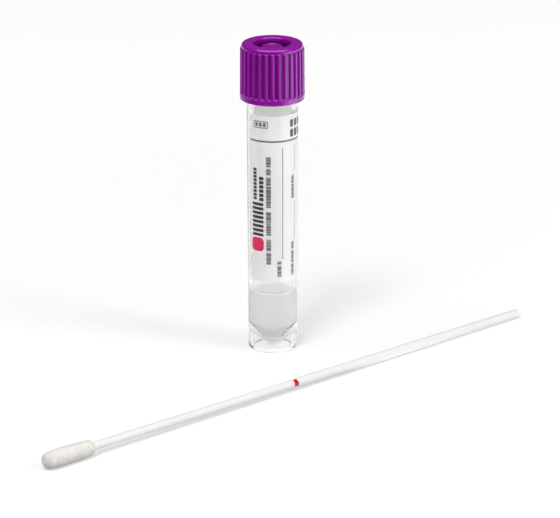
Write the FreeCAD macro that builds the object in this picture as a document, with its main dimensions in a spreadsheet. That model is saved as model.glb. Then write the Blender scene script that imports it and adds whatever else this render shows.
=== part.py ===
import FreeCAD, Part
import math
import os
import re
import Sketcher

# Specimen swab tube: a self-standing screw-capped transport tube with its flocked swab.
# Millimetres, +Z up.  The tube stands on its skirt with its axis on Z and its foot at z = 0.
# The swab lies on the same surface, parallel to +X, with its tip towards -X.

SIZES = {
    # Tube: one moulding, straight at the foot, then drafted outwards to the body radius.
    "tube_height": 78.1,
    "foot_radius": 6.25,
    "wall_draft": 0.17,
    "draft_start": 16.0,
    "straight_wall": 17.4,
    "foot_edge": 0.7,
    "skirt_wall": 1.2,
    "foot_wall": 1.1,
    "chamber_draft": 0.1,
    "cone_slope": 41.0,
    "cone_tip": 0.5,
    "cone_tip_radius": 3.1,
    "chamber_tip": 1.75,
    "chamber_tip_radius": 1.9,
    "neck_wall": 0.75,
    "neck_lead": 0.7,
    "lip_round": 0.3,
    # Screw thread, right-handed, shared by the neck and the cap.
    "pitch": 3.0,
    "thread_turns": 2.0,
    "thread_lead": 2.5,
    "thread_depth": 0.65,
    "thread_root": 1.3,
    "thread_crest": 0.6,
    "thread_bite": 0.25,
    "thread_gap": 0.2,
    # Cap: ribbed grip, annular well round a dished boss, plug, funnel and socket for the shaft.
    "cap_overlap": 1.61,
    "cap_wall": 1.3,
    "cap_taper": 0.08,
    "cap_band": 1.35,
    "cap_shoulder": 1.13,
    "cap_rim_step": 0.4,
    "cap_rim_round": 0.8,
    "cap_edge": 0.25,
    "rib_height": 0.55,
    "rib_width": 0.9,
    "rib_bite": 0.4,
    "rib_count": 30,
    "groove_ledge": 0.35,
    "groove_end": 0.25,
    "roof": 1.13,
    "plug_gap": 0.1,
    "plug_wall": 0.75,
    "plug_chamfer": 0.35,
    "well_depth": 3.6,
    "well_web": 0.9,
    "well_draft": 0.35,
    "well_lip": 0.5,
    "boss_radius": 2.7,
    "boss_drop": 0.85,
    "boss_round": 0.3,
    "boss_rim": 0.6,
    "boss_dish": 0.2,
    "socket_gap": 0.17,
    "socket_roof": 0.85,
    "stem_wall": 0.9,
    "funnel_flare": 1.7,
    "funnel_wall": 0.55,
    "funnel_rim": 0.8,
    "funnel_height": 3.8,
    "funnel_drop": 11.85,
    # Sealing ring between the roof of the cap and the lip of the tube.
    "ring_thickness": 0.75,
    "ring_gap": 0.1,
    "ring_side_gap": 0.12,
    "ring_round": 0.15,
    # Label: a film wrapped most of the way round the wall.
    "label_foot": 19.2,
    "label_clear": 3.0,
    "label_film": 0.08,
    "label_start": 166.0,
    "label_wrap": 300.0,
    # Liquid in the conical chamber; skin_gap is the gap under what lies on or in a wall.
    "medium_level": 15.3,
    "meniscus_rise": 0.9,
    "meniscus_width": 1.6,
    "skin_gap": 0.02,
    # Swab: shaft in two thicknesses with a notch between them, and a flocked tip.
    "swab_length": 159.7,
    "swab_reach": 98.3,
    "swab_aside": 27.5,
    "shaft_radius": 1.05,
    "handle_step": 0.09,
    "handle_round": 0.9,
    "notch_place": 80.25,
    "notch_width": 1.25,
    "notch_depth": 0.16,
    "notch_slope": 0.3,
    "flock_length": 15.1,
    "flock_cover": 0.9,
    "flock_radius": 2.25,
    "flock_belly": 6.0,
    "flock_nose": 2.15,
    "flock_heel": 2.05,
    "flock_heel_round": 1.5,
}

# Radii and heights that several pieces share, each worked out from the sizes.  The neck's length
# and the cap's follow from the thread.  The swab tilts so that its belly and its far end rest.
SHARED = {
    "floor_radius": "foot_radius - foot_wall",
    "body_radius": "foot_radius + wall_draft",
    "mouth_radius": "floor_radius + chamber_draft",
    "neck_radius": "mouth_radius + neck_wall",
    "cap_bore": "neck_radius + thread_depth + thread_gap",
    "cap_radius": "cap_bore + cap_wall",
    "groove_radius": "cap_radius - rib_height",
    "cap_rim_radius": "cap_radius - cap_rim_step",
    "plug_radius": "mouth_radius - plug_gap",
    "socket_radius": "shaft_radius + socket_gap",
    "funnel_radius": "socket_radius + funnel_flare",
    "handle_radius": "shaft_radius + handle_step",
    "notch_radius": "shaft_radius - notch_depth",
    "cone_centre": "cone_tip + cone_tip_radius",
    "chamber_centre": "chamber_tip + chamber_tip_radius",
    "thread_start": "tube_height - thread_lead - pitch * thread_turns",
    "neck_start": "thread_start - pitch / 2 - neck_lead",
    "draft_end": "neck_start - straight_wall",
    "roof_underside": "tube_height + ring_thickness + 2 * ring_gap",
    "cap_top": "roof_underside + roof",
    "cap_foot": "neck_start - cap_overlap",
    "rib_top": "cap_top - cap_shoulder",
    "boss_top": "cap_top - boss_drop",
    "well_floor": "cap_top - well_depth",
    "plug_foot": "well_floor - well_web",
    "funnel_foot": "cap_top - funnel_drop",
    "label_top": "cap_foot - label_clear",
    "incline": "asin((flock_radius - handle_radius) / (swab_length - handle_round - flock_belly))",
}


def add_sizes(doc):
    """The spreadsheet of driving sizes, one to a row."""
    sizes = doc.addObject("Spreadsheet::Sheet", "sizes")
    for row, (alias, value) in enumerate(SIZES.items(), 1):
        sizes.set("A%d" % row, alias)
        sizes.set("B%d" % row, repr(value))
        sizes.setAlias("B%d" % row, alias)
    doc.recompute()


def bound(expression):
    """The expression with shared places worked out and each size pointing at the spreadsheet."""
    def swap(word):
        if word[0] in SHARED:
            return "(%s)" % bound(SHARED[word[0]])
        return "sizes." + word[0] if word[0] in SIZES else word[0]
    return re.sub(r"[a-z_]+", swap, expression)


def origin_feature(body, role):
    """One of the body's own origin planes or axes."""
    return next(feature for feature in body.Origin.OriginFeatures if feature.Role == role)


def add_body(doc, label):
    body = doc.addObject("PartDesign::Body", label)
    body.Label = label
    return body


def arc_between(start, end, radius):
    """The short arc from start to end, turning left for a positive radius, right for a negative."""
    across, up = end[0] - start[0], end[1] - start[1]
    chord = math.hypot(across, up)
    reach = math.copysign(math.sqrt(radius ** 2 - chord ** 2 / 4), radius) / chord
    centre = ((start[0] + end[0]) / 2 - up * reach, (start[1] + end[1]) / 2 + across * reach)
    first, last = (start, end) if radius > 0 else (end, start)
    angles = [math.atan2(place[1] - centre[1], place[0] - centre[0]) for place in (first, last)]
    circle = Part.Circle(FreeCAD.Vector(*centre, 0), FreeCAD.Vector(0, 0, 1), abs(radius))
    return Part.ArcOfCircle(circle, *angles)


def add_section(body, name, corners):
    """A sketch in the body's XZ plane: a closed outline held by the sizes alone.

    Each corner is (across, up) as two expressions, or (across, up, radius) where an arc of that
    signed radius, rather than a line, leads on to the next corner.
    """
    sketch = body.newObject("Sketcher::SketchObject", name + "_section")
    sketch.AttachmentSupport = (origin_feature(body, "XZ_Plane"), [""])
    sketch.MapMode = "FlatFace"
    places = [[sketch.evalExpression(bound(size)) for size in corner] for corner in corners]
    starts, ends = [], []
    for index, place in enumerate(places):
        following = places[(index + 1) % len(places)]
        turns_right = len(place) == 3 and place[2] < 0
        if len(place) == 3:
            edge = sketch.addGeometry(arc_between(place, following, place[2]))
            number = sketch.addConstraint(Sketcher.Constraint("Radius", edge, abs(place[2])))
            sketch.setExpression("Constraints[%d]" % number, bound("abs(%s)" % corners[index][2]))
        else:
            points = [FreeCAD.Vector(*corner[:2], 0) for corner in (place, following)]
            edge = sketch.addGeometry(Part.LineSegment(*points))
        starts.append((edge, 2 if turns_right else 1))
        ends.append((edge, 1 if turns_right else 2))
    for index, start in enumerate(starts):
        sketch.addConstraint(Sketcher.Constraint("Coincident", *ends[index - 1], *start))
        for axis in (0, 1):
            kind = ("DistanceX", "DistanceY")[axis]
            held = Sketcher.Constraint(kind, -1, 1, *start, places[index][axis])
            number = sketch.addConstraint(held)
            sketch.setExpression("Constraints[%d]" % number, bound(corners[index][axis]))
    return sketch


def revolve(body, name, corners, angle="360"):
    """A solid of revolution about Z through the corners of its half section."""
    sketch = add_section(body, name, corners)
    turned = body.newObject("PartDesign::Revolution", name)
    turned.Profile = sketch
    turned.ReferenceAxis = (sketch, ["V_Axis"])
    turned.setExpression("Angle", bound(angle))


def wind(body, name, corners):
    """A helical ridge of the shared pitch, fused to the body."""
    sketch = add_section(body, name, corners)
    ridge = body.newObject("PartDesign::AdditiveHelix", name)
    ridge.Profile = sketch
    ridge.ReferenceAxis = (sketch, ["V_Axis"])
    ridge.Mode = "pitch-turns-angle"
    ridge.setExpression("Pitch", bound("pitch"))
    ridge.setExpression("Turns", bound("thread_turns"))


def cone_end(centre, radius):
    """Where a ball end of this radius, centred on the axis, runs into the cone."""
    return "%s * cos(cone_slope)" % radius, "%s - %s * sin(cone_slope)" % (centre, radius)


def cone_height(centre, radius, reach):
    """How high the cone that leaves that ball end is where it reaches a wall of radius reach."""
    across, up = cone_end(centre, radius)
    return "%s + (%s - %s) / tan(cone_slope)" % (up, reach, across)


def wall_radius(height):
    """Radius of the tube's drafted wall at a height between draft_start and draft_end."""
    share = "(%s - draft_start) / (draft_end - draft_start)" % height
    return "foot_radius + (body_radius - foot_radius) * %s" % share


def make_tube(doc):
    """Wall, conical floor, open skirt and threaded neck in one moulding."""
    body = add_body(doc, "tube")
    skirt_bore = "(foot_radius - skirt_wall)"
    revolve(body, "wall", [
        ("0", "cone_tip", "cone_tip_radius"),
        cone_end("cone_centre", "cone_tip_radius"),
        (skirt_bore, cone_height("cone_centre", "cone_tip_radius", skirt_bore)),
        (skirt_bore, "0"),
        ("foot_radius - foot_edge", "0", "foot_edge"),
        ("foot_radius", "foot_edge"),
        ("foot_radius", "draft_start"),
        ("body_radius", "draft_end"),
        ("body_radius", "neck_start - (body_radius - neck_radius)"),
        ("neck_radius", "neck_start"),
        ("neck_radius", "tube_height - lip_round", "lip_round"),
        ("neck_radius - lip_round", "tube_height"),
        ("mouth_radius", "tube_height"),
        ("floor_radius", cone_height("chamber_centre", "chamber_tip_radius", "floor_radius")),
        cone_end("chamber_centre", "chamber_tip_radius") + ("-chamber_tip_radius",),
        ("0", "chamber_tip"),
    ])
    root = "neck_radius - thread_bite"
    crest = "neck_radius + thread_depth"
    wind(body, "neck_thread", [
        (root, "thread_start - thread_root / 2"),
        (crest, "thread_start - thread_crest / 2"),
        (crest, "thread_start + thread_crest / 2"),
        (root, "thread_start + thread_root / 2"),
    ])
    return body


def add_ribs(body):
    """Upright grip ribs, which rise from the band and end below the rim."""
    root = "cap_radius - rib_height - rib_bite"
    rib = body.newObject("PartDesign::Pad", "rib")
    rib.Profile = add_section(body, "rib", [
        (root, "cap_foot + cap_band"),
        ("cap_radius", "cap_foot + cap_band"),
        ("cap_radius - cap_taper", "rib_top - rib_height"),
        ("cap_radius - cap_taper - rib_height", "rib_top"),
        (root, "rib_top"),
    ])
    rib.SideType = "Symmetric"
    rib.setExpression("Length", bound("rib_width"))
    ribs = body.newObject("PartDesign::PolarPattern", "ribs")
    ribs.Originals = [rib]
    ribs.Axis = (origin_feature(body, "Z_Axis"), [""])
    ribs.Angle = 360
    ribs.setExpression("Occurrences", bound("rib_count"))
    body.Tip = ribs


def make_cap(doc):
    """Grip, roof, plug, boss, and the socket with its funnel, in one moulding."""
    body = add_body(doc, "cap")
    well_foot_radius = "plug_radius - plug_wall"
    well_top_radius = well_foot_radius + " + well_draft"
    stem_radius = "socket_radius + stem_wall"
    revolve(body, "shell", [
        ("0", "boss_top - socket_roof"),
        ("socket_radius", "boss_top - socket_roof"),
        ("socket_radius", "funnel_foot + funnel_height"),
        ("funnel_radius", "funnel_foot"),
        ("funnel_radius + funnel_wall", "funnel_foot"),
        ("funnel_radius + funnel_wall", "funnel_foot + funnel_rim"),
        (stem_radius, "funnel_foot + funnel_rim + funnel_height"),
        (stem_radius, "plug_foot"),
        ("plug_radius - plug_chamfer", "plug_foot"),
        ("plug_radius", "plug_foot + plug_chamfer"),
        ("plug_radius", "roof_underside"),
        ("cap_bore", "roof_underside"),
        ("cap_bore", "cap_foot + cap_edge"),
        ("cap_bore + cap_edge", "cap_foot"),
        ("cap_radius - cap_edge", "cap_foot", "cap_edge"),
        ("cap_radius", "cap_foot + cap_edge"),
        ("cap_radius", "cap_foot + cap_band"),
        ("groove_radius", "cap_foot + cap_band + groove_ledge"),
        ("groove_radius - cap_taper", "rib_top - groove_end"),
        ("cap_rim_radius", "rib_top"),
        ("cap_rim_radius", "cap_top - cap_rim_round", "cap_rim_round"),
        ("cap_rim_radius - cap_rim_round", "cap_top"),
        (well_top_radius + " + well_lip", "cap_top", "well_lip"),
        (well_top_radius, "cap_top - well_lip"),
        (well_foot_radius, "well_floor"),
        ("boss_radius", "well_floor"),
        ("boss_radius", "boss_top - boss_round", "boss_round"),
        ("boss_radius - boss_round", "boss_top"),
        ("boss_radius - boss_rim", "boss_top"),
        ("boss_radius - boss_rim - boss_dish", "boss_top - boss_dish"),
        ("0", "boss_top - boss_dish"),
    ])
    add_ribs(body)
    root = "cap_bore + thread_bite"
    crest = "neck_radius + thread_gap"
    middle = "thread_start - pitch / 2"
    wind(body, "cap_thread", [
        (root, middle + " - thread_root / 2"),
        (root, middle + " + thread_root / 2"),
        (crest, middle + " + thread_crest / 2"),
        (crest, middle + " - thread_crest / 2"),
    ])
    return body


def make_seal_ring(doc):
    """Soft ring with rounded edges, free of the cap on all sides and just above the lip."""
    body = add_body(doc, "seal_ring")
    inner = "plug_radius + ring_side_gap"
    outer = "cap_bore - ring_side_gap"
    foot = "tube_height + ring_gap"
    top = "roof_underside - ring_gap"
    revolve(body, "ring", [
        (inner + " + ring_round", foot),
        (outer + " - ring_round", foot, "ring_round"),
        (outer, foot + " + ring_round"),
        (outer, top + " - ring_round", "ring_round"),
        (outer + " - ring_round", top),
        (inner + " + ring_round", top, "ring_round"),
        (inner, top + " - ring_round"),
        (inner, foot + " + ring_round", "ring_round"),
    ])
    return body


def make_label(doc):
    """Film that follows the drafted wall, open at the back as a window on the contents."""
    body = add_body(doc, "label")
    foot_radius = wall_radius("label_foot") + " + skin_gap"
    top_radius = "body_radius + skin_gap"
    revolve(body, "film", [
        (foot_radius, "label_foot"),
        (foot_radius + " + label_film", "label_foot"),
        (top_radius + " + label_film", "draft_end"),
        (top_radius + " + label_film", "label_top"),
        (top_radius, "label_top"),
        (top_radius, "draft_end"),
    ], angle="label_wrap")
    body.Placement.Rotation = FreeCAD.Rotation(FreeCAD.Vector(0, 0, 1), SIZES["label_start"])
    body.setExpression("Placement.Rotation.Angle", bound("label_start"))
    return body


def make_medium(doc):
    """Liquid that fills the conical chamber, with its surface drawn up at the wall."""
    body = add_body(doc, "medium")
    edge = "(floor_radius - skin_gap)"
    ball = "(chamber_tip_radius - skin_gap)"
    revolve(body, "fill", [
        ("0", "chamber_tip + skin_gap", ball),
        cone_end("chamber_centre", ball),
        (edge, cone_height("chamber_centre", ball, edge)),
        (edge, "medium_level + meniscus_rise",
         "-(meniscus_width ^ 2 + meniscus_rise ^ 2) / (2 * meniscus_rise)"),
        (edge + " - meniscus_width", "medium_level"),
        ("0", "medium_level"),
    ])
    return body


def lay_down(body):
    """Turn a swab piece from its own Z to lie along X, resting on its belly and its far end."""
    body.Placement.Rotation = FreeCAD.Rotation(FreeCAD.Vector(0, 1, 0), 90)
    body.setExpression("Placement.Rotation.Angle", bound("90 deg + incline"))
    body.setExpression("Placement.Base.x", bound("-swab_reach"))
    body.setExpression("Placement.Base.y", bound("-swab_aside"))
    rise = "flock_radius * cos(incline) + flock_belly * sin(incline)"
    body.setExpression("Placement.Base.z", bound(rise))


def make_swab_shaft(doc):
    """Moulded shaft: thin half, breakpoint notch, then the thicker half with a rounded end."""
    body = add_body(doc, "swab_shaft")
    notch_start = "notch_place - notch_width / 2"
    notch_end = "notch_place + notch_width / 2"
    revolve(body, "shaft", [
        ("0", "flock_cover"),
        ("shaft_radius", "flock_cover"),
        ("shaft_radius", notch_start + " - notch_slope"),
        ("notch_radius", notch_start),
        ("notch_radius", notch_end),
        ("handle_radius", notch_end + " + notch_slope"),
        ("handle_radius", "swab_length - handle_round", "handle_round"),
        ("handle_radius - handle_round", "swab_length"),
        ("0", "swab_length"),
    ])
    lay_down(body)
    return body


def tangent_radius(drop, run):
    """Radius of an arc that starts level and drops by drop over run."""
    return "((%s) ^ 2 + (%s) ^ 2) / (2 * (%s))" % (drop, run, drop)


def make_swab_tip(doc):
    """Flocked fibre round the end of the shaft: ball nose, full belly, rounded heel."""
    body = add_body(doc, "swab_tip")
    nose_angle = 80
    nose_edge = "flock_nose * sin(%d)" % nose_angle
    nose_end = "flock_nose * (1 - cos(%d))" % nose_angle
    heel_start = "flock_length - flock_heel_round"
    hole = "shaft_radius + skin_gap"
    heel_edge = "(shaft_radius + 2 * skin_gap)"
    hole_end = "flock_cover - skin_gap"
    revolve(body, "flock", [
        ("0", "0", "flock_nose"),
        (nose_edge, nose_end,
         tangent_radius("flock_radius - " + nose_edge, "flock_belly - " + nose_end)),
        ("flock_radius", "flock_belly",
         tangent_radius("flock_radius - flock_heel", heel_start + " - flock_belly")),
        ("flock_heel", heel_start, tangent_radius("flock_heel - " + heel_edge, "flock_heel_round")),
        (heel_edge, "flock_length"),
        (hole, "flock_length"),
        (hole, hole_end),
        ("0", hole_end),
    ])
    lay_down(body)
    return body


def check(doc, pieces):
    """Stop on any object that failed and on any piece that is not one valid solid."""
    failed = [item.Name for item in doc.Objects if {"Invalid", "Error"} & set(item.State)]
    if failed:
        raise RuntimeError("failed to build: " + ", ".join(failed))
    for piece in pieces:
        shape = piece.Shape
        if shape.isNull() or not shape.isValid() or len(shape.Solids) != 1:
            raise RuntimeError("not one valid solid: " + piece.Label)


def write(pieces):
    os.makedirs("parts", exist_ok=True)
    for piece in pieces:
        piece.Shape.exportStep("parts/%s.step" % piece.Label)


def main():
    doc = FreeCAD.newDocument("specimen_swab_tube")
    add_sizes(doc)
    makers = (make_tube, make_cap, make_seal_ring, make_label, make_medium, make_swab_shaft, make_swab_tip)
    pieces = [make(doc) for make in makers]
    doc.recompute()
    check(doc, pieces)
    write(pieces)


main()
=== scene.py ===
"""Finished pieces of a specimen swab tube, built round its engineering model.

The code works in millimetres on the model's own axes, +Z up, and MM turns them into metres.
"""

import math
from types import SimpleNamespace

import bpy
import numpy as np
from mathutils import Matrix, Vector


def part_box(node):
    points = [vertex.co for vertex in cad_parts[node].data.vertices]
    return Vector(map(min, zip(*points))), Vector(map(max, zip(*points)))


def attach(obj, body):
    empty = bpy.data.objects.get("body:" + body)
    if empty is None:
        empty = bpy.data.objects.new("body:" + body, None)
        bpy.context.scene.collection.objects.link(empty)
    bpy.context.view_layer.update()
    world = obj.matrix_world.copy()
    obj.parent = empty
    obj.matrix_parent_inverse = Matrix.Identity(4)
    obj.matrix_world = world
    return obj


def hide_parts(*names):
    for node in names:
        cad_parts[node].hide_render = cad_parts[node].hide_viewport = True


bl_info = {
    "name": "Specimen swab tube",
    "version": (1, 0, 0),
    "blender": (4, 5, 0),
    "location": "3D View > Sidebar > Swab Tube",
    "description": "Builds the finished tube, cap, label, liquid and swab round the engineering model",
    "category": "Add Mesh",
}

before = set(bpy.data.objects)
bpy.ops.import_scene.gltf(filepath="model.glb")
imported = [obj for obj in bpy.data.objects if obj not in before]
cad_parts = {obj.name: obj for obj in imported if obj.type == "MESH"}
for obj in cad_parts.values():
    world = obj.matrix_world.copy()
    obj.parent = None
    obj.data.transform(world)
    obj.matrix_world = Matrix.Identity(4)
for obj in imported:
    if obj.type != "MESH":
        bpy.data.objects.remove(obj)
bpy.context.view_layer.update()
MM = 0.001
EDGE = 0.06  # length of the short end piece of a profile's straight stretch
STRETCH = 1.5  # longest piece of such a stretch, unless its corner says otherwise
ARC_PIECE = 0.07  # usual length of the pieces of a profile's rounded corner


# ---------------------------------------------------------------------------------------------
# Places taken from the engineering model
# ---------------------------------------------------------------------------------------------

def box_mm(node):
    """Lowest and highest corner of a node of the model, in millimetres."""
    low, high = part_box(node)
    return np.array(low) / MM, np.array(high) / MM


CAP_LOW, CAP_HIGH = box_mm("cap")
LABEL_LOW, LABEL_HIGH = box_mm("label")
SHAFT_LOW, SHAFT_HIGH = box_mm("swab_shaft")
FLOCK_LOW, FLOCK_HIGH = box_mm("swab_tip")

TUBE_TOP = box_mm("tube")[1][2]
CAP_FOOT, CAP_TOP = CAP_LOW[2], CAP_HIGH[2]
CAP_RADIUS = CAP_HIGH[1]
SWAB_LENGTH = SHAFT_HIGH[0] - FLOCK_LOW[0]
SWAB_ASIDE = (FLOCK_LOW[1] + FLOCK_HIGH[1]) / 2
FLOCK_RADIUS = (FLOCK_HIGH[1] - FLOCK_LOW[1]) / 2
HANDLE_RADIUS = (SHAFT_HIGH[1] - SHAFT_LOW[1]) / 2


# ---------------------------------------------------------------------------------------------
# Settings: the sizes and colours that a user would change
# ---------------------------------------------------------------------------------------------

def length(name, description, default):
    """A length property whose default is given in millimetres."""
    return bpy.props.FloatProperty(name=name, description=description, default=default * MM,
                                   unit="LENGTH", precision=5)


def colour(name, description, default):
    """A colour property, as linear red, green and blue."""
    return bpy.props.FloatVectorProperty(name=name, description=description, default=default,
                                         subtype="COLOR", size=3, min=0.0, max=1.0)


def share(name, description, default):
    """A property from 0 to 1."""
    return bpy.props.FloatProperty(name=name, description=description, default=default,
                                   min=0.0, max=1.0, subtype="FACTOR")


def number(name, description, default):
    """A plain number property."""
    return bpy.props.FloatProperty(name=name, description=description, default=default)


def angle(name, description, degrees):
    """An angle property whose default is given in degrees."""
    return bpy.props.FloatProperty(name=name, description=description,
                                   default=math.radians(degrees), subtype="ANGLE")


class SwabTubeWall(bpy.types.PropertyGroup):
    foot_radius: length("Foot radius", "Outer radius of the straight foot", 6.25)
    body_radius: length("Body radius", "Outer radius of the wall above the draft", 6.42)
    draft_start: length("Draft start", "Height where the wall starts to widen", 16.0)
    straight_wall: length("Straight wall", "Straight length under the neck", 17.4)
    skirt_bore: length("Skirt bore", "Inner radius of the open skirt", 5.05)
    floor_radius: length("Floor radius", "Inner radius just above the conical floor", 5.15)
    mouth_radius: length("Mouth radius", "Inner radius at the lip", 5.25)
    neck_radius: length("Neck radius", "Outer radius of the neck between the threads", 6.0)
    cap_overlap: length("Cap overlap", "How far the cap reaches below the neck", 1.61)
    cone_tip: length("Cone tip", "Height of the lowest point of the cone's outside", 0.5)
    cone_ball: length("Cone ball", "Radius of the ball end of the cone's outside", 3.1)
    chamber_tip: length("Chamber tip", "Height of the lowest point of the chamber", 1.75)
    chamber_ball: length("Chamber ball", "Radius of the ball end of the chamber", 1.9)
    cone_slope: angle("Cone slope", "Angle between the cone and the tube's axis", 41.0)
    foot_edge: length("Foot edge", "Rounding of the foot's outer edge", 0.7)
    lip_round: length("Lip round", "Rounding of the lip's outer edge", 0.3)
    plastic: colour("Plastic", "Colour of the translucent plastic", (0.984, 0.985, 0.982))
    clarity: share("Clarity", "How much light goes straight through the plastic", 0.97)


class SwabTubeThread(bpy.types.PropertyGroup):
    pitch: length("Pitch", "Rise of the thread in one turn", 3.0)
    turns: number("Turns", "Length of the thread in turns", 2.0)
    neck_lead: length("Neck lead", "From the neck's foot up to the cap's thread", 0.7)
    depth: length("Depth", "How far a thread stands from its wall", 0.65)
    foot_width: length("Foot width", "Width of a thread at its wall", 1.1)
    crest_width: length("Crest width", "Width of a thread at its crest", 0.6)


class SwabTubeCap(bpy.types.PropertyGroup):
    band: length("Band", "Height of the smooth band at the foot of the cap", 1.35)
    shoulder: length("Shoulder", "Height of the smooth shoulder above the ribs", 1.13)
    taper: length("Taper", "How much the grip narrows upwards", 0.08)
    rib_height: length("Rib height", "How far the ribs stand proud", 0.55)
    groove_ledge: length("Groove ledge", "Rise of the slope from the band to the grooves", 0.35)
    groove_end: length("Groove end", "Rise of the slope from the grooves to the shoulder", 0.25)
    rib_width: length("Rib width", "Width of a rib", 0.9)
    rib_count: bpy.props.IntProperty(name="Ribs", description="Number of ribs", default=30, min=3)
    rim_radius: length("Rim radius", "Outer radius of the rim at the top", 7.75)
    rim_round: length("Rim round", "Rounding of the rim's outer edge", 0.8)
    roof: length("Roof", "Thickness of the roof", 1.13)
    well_radius: length("Well radius", "Radius of the well's wall at the top", 4.75)
    well_lip: length("Well lip", "Rounding of the well's edge", 0.5)
    well_depth: length("Well depth", "Depth of the annular well in the top", 3.6)
    well_web: length("Well web", "Thickness under the well", 0.9)
    well_draft: length("Well draft", "How much the well narrows to its floor", 0.35)
    boss_radius: length("Boss radius", "Radius of the boss in the well", 2.7)
    boss_drop: length("Boss drop", "How far the boss lies below the rim", 0.85)
    boss_rim: length("Boss rim", "Width of the flat rim of the boss", 0.6)
    boss_dish: length("Boss dish", "Depth of the dish in the boss", 0.2)
    plug_radius: length("Plug radius", "Outer radius of the plug that enters the mouth", 5.15)
    bore: length("Bore", "Inner radius of the cap between its threads", 6.85)
    socket_radius: length("Socket radius", "Inner radius of the socket for the shaft", 1.22)
    socket_roof: length("Socket roof", "From the top of the boss down to the socket's end", 0.85)
    stem_radius: length("Stem radius", "Outer radius of the socket's wall", 2.12)
    funnel_radius: length("Funnel radius", "Inner radius of the funnel's mouth", 2.92)
    funnel_drop: length("Funnel drop", "From the top of the cap down to the funnel's mouth", 11.85)
    funnel_height: length("Funnel height", "Height of the funnel's inner cone", 3.8)
    funnel_wall: length("Funnel wall", "Thickness of the funnel at its mouth", 0.55)
    funnel_rim: length("Funnel rim", "Height of the funnel's straight outer rim", 0.8)
    plastic: colour("Plastic", "Colour of the cap's plastic", (0.25, 0.0012, 0.295))
    # Painted shade: how light the grooves, the shoulder and the well are painted against the ribs.
    painted_groove_shade: share("Groove tone", "Lightness of the grooves against the ribs", 0.58)
    painted_shoulder_shade: share("Shoulder tone", "Lightness of the shoulder against the ribs", 0.72)
    painted_well_shade: share("Well tone", "Lightness of the well against the ribs", 0.05)


class SwabTubeLabel(bpy.types.PropertyGroup):
    start: angle("Start", "Direction of the label's first edge, from +X", 166.0)
    wrap: angle("Wrap", "How far round the tube the label goes", 300.0)
    film: length("Film", "Thickness of the label", 0.08)
    gap: length("Gap", "Space between the wall and the label", 0.02)
    corner: length("Corner", "Radius of the label's corners", 0.8)
    paper: colour("Film colour", "Colour of the blank label", (0.92, 0.92, 0.92))
    ink: colour("Ink", "Colour of the dark print", (0.045, 0.043, 0.048))
    grey_ink: colour("Grey ink", "Colour of the thin lines and small print", (0.16, 0.16, 0.165))
    red_ink: colour("Red ink", "Colour of the red field", (0.84, 0.02, 0.13))
    # painted glow on the film's inner side, an emission standing in for light let through
    glow: colour("Glow", "Light that the film lets through to its inner side", (0.155, 0.145, 0.14))


class SwabTubeMedium(bpy.types.PropertyGroup):
    level: length("Level", "Height of the liquid at the middle", 15.3)
    rise: length("Rise", "How far the liquid climbs the wall", 0.9)
    reach: length("Reach", "How far from the wall the surface starts to climb", 1.6)
    overlap: length("Overlap", "How far the liquid goes into the wall, so that no air shows", 0.03)
    liquid: colour("Liquid", "Colour of the liquid", (0.78, 0.795, 0.788))


class SwabTubeSwab(bpy.types.PropertyGroup):
    shaft_radius: length("Shaft radius", "Radius of the thin half of the shaft", 1.05)
    flock_cover: length("Flock cover", "From the tip's end to the shaft's end inside it", 0.9)
    handle_round: length("Handle round", "Radius of the rounded end of the handle", 0.9)
    notch_place: length("Breakpoint", "Distance of the breakpoint from the tip's end", 80.25)
    notch_width: length("Notch width", "Width of the notch at the breakpoint", 1.25)
    notch_radius: length("Notch radius", "Radius of the shaft in the notch", 0.89)
    notch_slope: length("Notch slope", "Length of the slopes at both sides of the notch", 0.3)
    flock_length: length("Flock length", "Length of the flocked tip", 15.1)
    flock_belly: length("Flock belly", "Distance of the fullest place from the tip's end", 6.0)
    flock_nose: length("Flock nose", "Radius of the rounded nose", 2.15)
    flock_heel: length("Flock heel", "Radius of the flocked tip at its heel", 2.05)
    heel_round: length("Heel round", "Length of the rounding at the heel", 1.5)
    nap: length("Nap", "How far the fibres stand from the flocked body", 0.16)
    fibres: bpy.props.IntProperty(name="Fibres", description="Number of fibres", default=26000, min=0)
    plastic: colour("Plastic", "Colour of the shaft", (0.80, 0.80, 0.80))
    fibre: colour("Fibre", "Colour of the flocked fibres", (0.84, 0.81, 0.765))
    mark: colour("Mark", "Colour of the breakpoint mark", (0.60, 0.001, 0.008))


class SwabTubeStage(bpy.types.PropertyGroup):
    place: bpy.props.FloatVectorProperty(name="Camera place", description="Where the camera stands",
                                         default=(-0.62961, -0.68799, 0.33600), size=3,
                                         subtype="TRANSLATION", unit="LENGTH", precision=5)
    heading: angle("Heading", "Turn of the camera about the vertical, from +Y", -42.575)
    dip: angle("Dip", "How far the camera looks down", 18.539)
    roll: angle("Roll", "Turn of the camera about its own view", -0.136)
    lens: number("Lens", "Focal length of the camera in millimetres", 249.26)
    floor: colour("Floor", "Colour of the floor", (0.55, 0.55, 0.55))


GROUPS = {
    "swab_tube_wall": SwabTubeWall,
    "swab_tube_thread": SwabTubeThread,
    "swab_tube_cap": SwabTubeCap,
    "swab_tube_label": SwabTubeLabel,
    "swab_tube_medium": SwabTubeMedium,
    "swab_tube_swab": SwabTubeSwab,
    "swab_tube_stage": SwabTubeStage,
}


def settings(name):
    """The values of a group of settings, its single lengths in millimetres."""
    group = getattr(bpy.context.scene, name)
    values = SimpleNamespace()
    for key, prop in group.bl_rna.properties.items():
        if key in group.bl_rna.base.properties:
            continue
        value = getattr(group, key)
        if getattr(prop, "array_length", 0):
            value = tuple(value)
        elif prop.type == "FLOAT" and prop.unit == "LENGTH":
            value = value / MM
        setattr(values, key, value)
    return values


# ---------------------------------------------------------------------------------------------
# Surfaces
# ---------------------------------------------------------------------------------------------

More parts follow.
